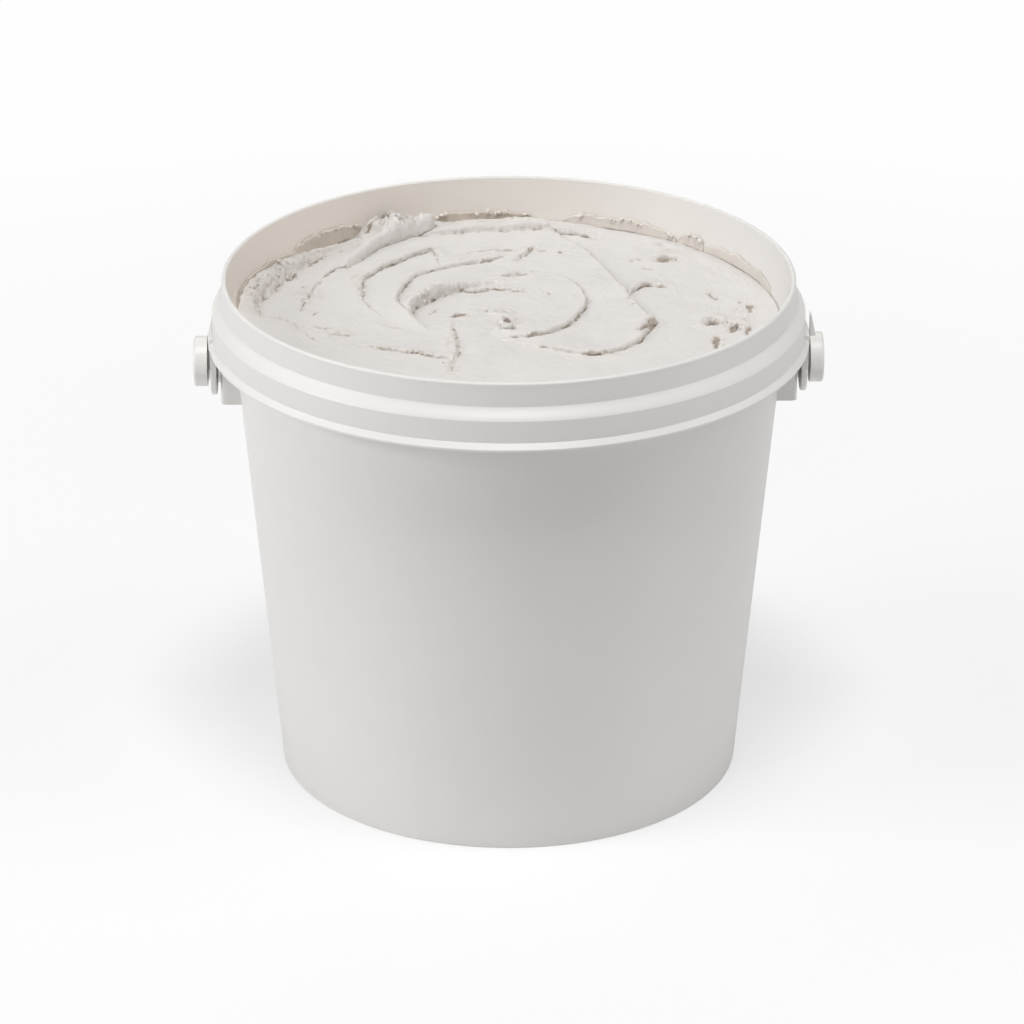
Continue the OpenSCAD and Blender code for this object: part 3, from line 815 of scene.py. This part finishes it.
# %% Add drag lines and unevenness
DISH_DEPTH = 1.5
from_middle = seen - SWIRL_MIDDLE
spread = np.linalg.norm(from_middle, axis=1)
bearing = np.arctan2(from_middle[:, 1], from_middle[:, 0])
drag = field(np.column_stack([spread + 3.0 * bearing, 5 * np.cos(bearing)]), 1.9, 11.3, 3)
broad = field(seen, 26, 5.5, 2)
lumps = field(seen, 8, 9.2, 3)
# The trowel has smoothed the front best, and the middle of the swirl is the lowest
smoothed = hump(seen[:, 0], 20, 46) * hump(seen[:, 1], -60, 22)
dish = -DISH_DEPTH * np.clip(1 - spread / top_radius, 0, 1) ** 2
lift += dish + 0.5 * broad
lift += (1 - 0.7 * smoothed) * (0.26 * lumps + 0.16 * drag + 0.05 * fine)
lift += torn * (0.25 * ragged + 0.3 * fine)
print("surface from", round(float(lift.min()), 1), "to", round(float(lift.max()), 1), "mm")

# %% Write the shape back to the mesh
leaned = (seen + shift) @ turn.T
for v, (x, y), up, is_torn in zip(top_points, leaned, lift, torn):
    z = SURFACE_Z + up
    limit = cavity_radius(z) - WALL_GAP
    squeeze = min(1, limit / max(math.hypot(x, y), RING_STEP))
    v.co = (x * squeeze * MM, y * squeeze * MM, z * MM)
    v[torn_layer] = float(np.clip(is_torn, 0, 1))

# %% Break up the torn cliffs
CRUMB_SIZE = 2.0
CRUMB_DEPTH = 1.3
CLIFF_EDGE = 0.74
CUT_FROM = 0.12
BREAK_FROM = 0.05

long_edges = [
    e
    for e in filler_mesh.edges
    if e.calc_length() > CLIFF_EDGE * MM and all(v[torn_layer] > CUT_FROM for v in e.verts)
]
bmesh.ops.subdivide_edges(filler_mesh, edges=long_edges, cuts=1, use_grid_fill=True)
for v in filler_mesh.verts:
    if v[torn_layer] > BREAK_FROM:
        depth = CRUMB_DEPTH * MM * v[torn_layer]
        step = noise.turbulence_vector(v.co / (CRUMB_SIZE * MM), 3, False) * depth
        v.co += Vector((step.x, step.y, 0.6 * step.z))
        limit = (cavity_radius(v.co.z / MM) - WALL_GAP) * MM
        v.co.xy *= min(1, limit / max(v.co.xy.length, MM))
print("stirred filler:", len(filler_mesh.faces), "faces", len(long_edges), "long edges cut")
bmesh.ops.recalc_face_normals(filler_mesh, faces=filler_mesh.faces)


def finish_piece(mesh, name, material):
    """Turns a bmesh into a smooth-shaded piece that rides on the tub."""
    data = bpy.data.meshes.new(name)
    mesh.to_mesh(data)
    mesh.free()
    data.polygons.foreach_set("use_smooth", [True] * len(data.polygons))
    data.materials.append(material)
    piece = bpy.data.objects.new(name, data)
    bpy.context.scene.collection.objects.link(piece)
    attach(piece, "tub")
    print(name, len(data.polygons), "faces")
    return piece


stirred_filler = finish_piece(filler_mesh, "stirred_filler", paste)
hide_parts("filler")

# %% [markdown]
# ## Dried film on the wall
# When filler is scooped out, a thin skin of it stays on the wall and dries. It is flat
# against the wall, tan on the patches from the back round to the left and nearly white on
# those at the back right, and its upper edge has curled into ragged beads. Each patch is a
# small grid, given a back by extruding it, and then bent round the wall. A few beads are set
# along its upper edge.

# %% Lay the dried film round the wall
FILM_GAP = 0.12
FILM_BELOW = 1.2
COLUMNS_PER_DEGREE = 3
BEAD_SIZES = (0.35, 0.85)
rng = np.random.default_rng(7)
film_patches = [
    # first angle, last angle, height, thickness, beads, and 1 where the film is pale
    (12, 42, 4.0, 0.14, 0, 1), (41, 48.5, 5.4, 0.6, 5, 1), (49, 77, 4.4, 0.5, 16, 1),
    (83, 108, 4.0, 0.35, 18, 0), (121, 144, 6.6, 0.3, 6, 0), (143, 177, 5.2, 0.14, 0, 0),
]


def wall_place(angle, z, inward):
    """A point inside the tub, a little way in from the wall."""
    r = cavity_radius(z) - FILM_GAP - inward
    return Vector((r * math.cos(math.radians(angle)), r * math.sin(math.radians(angle)), z)) * MM


def film_top(angle, first, last, height):
    """Ragged upper edge of a patch, lower towards its ends."""
    share = (angle - first) / (last - first)
    wobble = noise.fractal((angle / 2.4, first, 1.7), 0.9, 2.2, 4)
    return SURFACE_Z + 0.2 + height * (0.8 + 0.28 * wobble) * min(1, 6 * share * (1 - share)) ** 0.5


def paint(verts, torn, is_pale):
    """Sets the mask of the colour and the material on some points of the film."""
    for v in verts:
        v[film_torn] = torn
        for face in v.link_faces:
            face.material_index = is_pale


def lay_patch(first, last, height, thickness, is_pale):
    """Bends a grid with a back round the wall, ragged on top and uneven in front."""
    columns = round((last - first) * COLUMNS_PER_DEGREE)
    made = bmesh.ops.create_grid(film_mesh, x_segments=columns, y_segments=6, size=0.5)
    front = list({f for v in made["verts"] for f in v.link_faces})
    back = bmesh.ops.extrude_face_region(film_mesh, geom=front, use_keep_orig=True)
    back_verts = [g for g in back["geom"] if isinstance(g, bmesh.types.BMVert)]
    foot = SURFACE_Z - FILM_BELOW
    for verts, is_front in ((made["verts"], True), (back_verts, False)):
        for v in verts:
            across, up = v.co.x + 0.5, v.co.y + 0.5
            angle = first + (last - first) * across
            z = foot + (film_top(angle, first, last, height) - foot) * up
            skin = noise.fractal((angle * 1.6, z * 0.9, first), 0.9, 2.1, 3)
            curl = 0.4 * max(0, up - 0.75) / 0.25
            v.co = wall_place(angle, z, thickness * (0.45 + 0.25 * skin + curl) if is_front else 0)
            paint([v], max(0, (up - 0.8) / 0.2), is_pale)


def set_bead(first, last, height, thickness, is_pale):
    """Sets one dented bead somewhere along the upper edge of a patch."""
    angle = rng.uniform(first + 1, last - 1)
    size = rng.uniform(*BEAD_SIZES)
    z = film_top(angle, first, last, height) - 0.1 - rng.uniform(0, 0.5)
    place = Matrix.Translation(wall_place(angle, z, 0.9 * thickness + size * 0.2))
    stretch = Matrix.Diagonal((*(size * MM * rng.uniform(0.7, 1.5, 3)), 1))
    bead = bmesh.ops.create_icosphere(film_mesh, subdivisions=2, radius=1, matrix=place @ stretch)
    for v in bead["verts"]:
        v.co += v.normal * 0.25 * size * MM * noise.noise(v.co / (0.6 * MM))
    paint(bead["verts"], 1.0, is_pale)


film_mesh = bmesh.new()
film_torn = film_mesh.verts.layers.float.new(TORN)
for first, last, height, thickness, beads, is_pale in film_patches:
    lay_patch(first, last, height, thickness, is_pale)
    for _ in range(beads):
        set_bead(first, last, height, thickness, is_pale)
bmesh.ops.recalc_face_normals(film_mesh, faces=film_mesh.faces)
film_piece = finish_piece(film_mesh, "dried_wall_film", dried_film)
film_piece.data.materials.append(pale_film)
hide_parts("wall_film")

# %% [markdown]
# ## Crumbs
# Where the paste tore, loose crumbs lie on it. Each starts as a small round shape, is
# squashed and dented at random with a fixed seed, and is pressed a little into the surface.

# %% Scatter the crumbs
crumb_places = [
    # x, y, spread, how many, largest radius
    (64, 62, 4, 8, 0.7), (-93, 40, 7, 16, 0.9), (-99, 20, 6, 14, 0.9), (-54, 88, 8, 8, 1.0),
    (0, -6, 5, 8, 0.6), (87, -11, 7, 9, 0.7), (-28, 22, 6, 7, 0.5), (-69, -17, 6, 4, 0.5),
    (-22, -50, 6, 5, 0.5), (56, -12, 4, 6, 0.5), (2, 45, 5, 5, 0.5), (0, 101, 14, 8, 0.6),
]
CRUMB_TORN = 0.4
crumb_mesh = bmesh.new()
crumb_torn = crumb_mesh.verts.layers.float.new(TORN)
for x, y, scatter, how_many, largest in crumb_places:
    for _ in range(how_many):
        spot = np.array([x, y]) + rng.normal(0, scatter / 2, 2)
        if np.linalg.norm(spot) > top_radius - 2:
            continue
        nearest = ((seen + shift - spot) ** 2).sum(1).argmin()
        size = largest * rng.uniform(0.35, 1.0)
        centre = Vector((*((spot @ turn.T) * MM), (SURFACE_Z + lift[nearest] + 0.25 * size) * MM))
        stretch = Matrix.Diagonal((*(size * MM * rng.uniform(0.6, 1.3, 3)), 1))
        spin = Matrix.Rotation(rng.uniform(0, 2 * math.pi), 4, "Z")
        crumb = bmesh.ops.create_icosphere(
            crumb_mesh, subdivisions=2, radius=1, matrix=Matrix.Translation(centre) @ spin @ stretch
        )
        for v in crumb["verts"]:
            v.co += v.normal * 0.4 * size * MM * noise.noise(v.co / (0.8 * MM))
            v[crumb_torn] = CRUMB_TORN
finish_piece(crumb_mesh, "filler_crumbs", paste)

# %% [markdown]
# ## Floor and light
# The object stands on a plain pale floor, which keeps the soft shadow close to the tub. For
# camera and mirror rays the floor turns into plain white light further out, so that the
# background is white while the light on the tub stays at an ordinary level. Six soft lamps
# light it. The strongest is steeply above and shows the ridges, and the next one stands to
# the left, as the shading on the tub shows.


# %% Build the floor and the world
FLOOR_COLOUR = (0.9, 0.9, 0.9, 1)
WHITE = (1, 1, 1, 1)
WHITE_STRENGTH = 0.995
WORLD_LEVEL = 0.05
NEAR_TUB, FAR_OFF = 0.22, 0.75
NEAR_SHARE, FAR_SHARE = 0.6, 0.99


def pale_floor():
    """Matt floor that turns into white light away from the tub, for the camera and mirrors only."""
    material = bpy.data.materials.new("pale_floor")
    material.use_nodes = True
    tree = material.node_tree
    tree.nodes.clear()
    path = add_node(tree, "ShaderNodeLightPath").outputs
    matt = add_node(tree, "ShaderNodeBsdfDiffuse", {"Color": FLOOR_COLOUR})
    white = add_node(tree, "ShaderNodeEmission", {"Color": WHITE, "Strength": WHITE_STRENGTH})
    seen_directly = number_math(tree, "MAXIMUM", path["Is Camera Ray"], path["Is Glossy Ray"])
    place = add_node(tree, "ShaderNodeTexCoord").outputs["Object"]
    fade = remap(tree, point_math(tree, "LENGTH", place), NEAR_TUB, FAR_OFF, NEAR_SHARE, FAR_SHARE)
    share = number_math(tree, "MULTIPLY", seen_directly, fade)
    mixed = add_node(tree, "ShaderNodeMixShader", {0: share, 1: matt.outputs[0], 2: white.outputs[0]})
    add_node(tree, "ShaderNodeOutputMaterial", {"Surface": mixed.outputs[0]})
    return material


floor_mesh = bmesh.new()
bmesh.ops.create_grid(floor_mesh, x_segments=2, y_segments=2, size=6)
floor_data = bpy.data.meshes.new("floor")
floor_mesh.to_mesh(floor_data)
floor_mesh.free()
floor_data.materials.append(pale_floor())
floor = bpy.data.objects.new("floor", floor_data)
bpy.context.scene.collection.objects.link(floor)

world = bpy.data.worlds.new("studio")
bpy.context.scene.world = world
world.use_nodes = True
sky = world.node_tree
sky.nodes.clear()
path = add_node(sky, "ShaderNodeLightPath").outputs
plain = add_node(sky, "ShaderNodeBackground", {"Color": WHITE, "Strength": WORLD_LEVEL}).outputs[0]
white = add_node(sky, "ShaderNodeBackground", {"Color": WHITE, "Strength": 1.0}).outputs[0]
either = add_node(sky, "ShaderNodeMixShader", {0: path["Is Camera Ray"], 1: plain, 2: white})
add_node(sky, "ShaderNodeOutputWorld", {"Surface": either.outputs[0]})


# %% Hang the soft lamps
LAMP_AIM = Vector((0, 0, 0.1))
lamps = [
    # name, place, size, power
    ("left_lamp", (-2.0, -0.6, 1.0), 0.9, 20),
    ("steep_lamp", (0.0, -0.6, 2.2), 0.6, 27),
    ("right_lamp", (1.7, -0.2, 0.8), 1.2, 6),
    ("high_right_lamp", (1.2, -0.3, 1.8), 1.0, 6),
    ("high_left_lamp", (-1.5, 0.2, 1.5), 1.2, 5),
    ("back_lamp", (0.0, 1.6, 1.5), 1.2, 4.5),
]
for name, place, size, power in lamps:
    data = bpy.data.lights.new(name, "AREA")
    data.shape = "SQUARE"
    data.size = size
    data.energy = power
    lamp = bpy.data.objects.new(name, data)
    lamp.location = place
    lamp.rotation_mode = "QUATERNION"
    lamp.rotation_quaternion = (LAMP_AIM - Vector(place)).to_track_quat("-Z", "Y")
    bpy.context.scene.collection.objects.link(lamp)
print(len(lamps), "lamps")
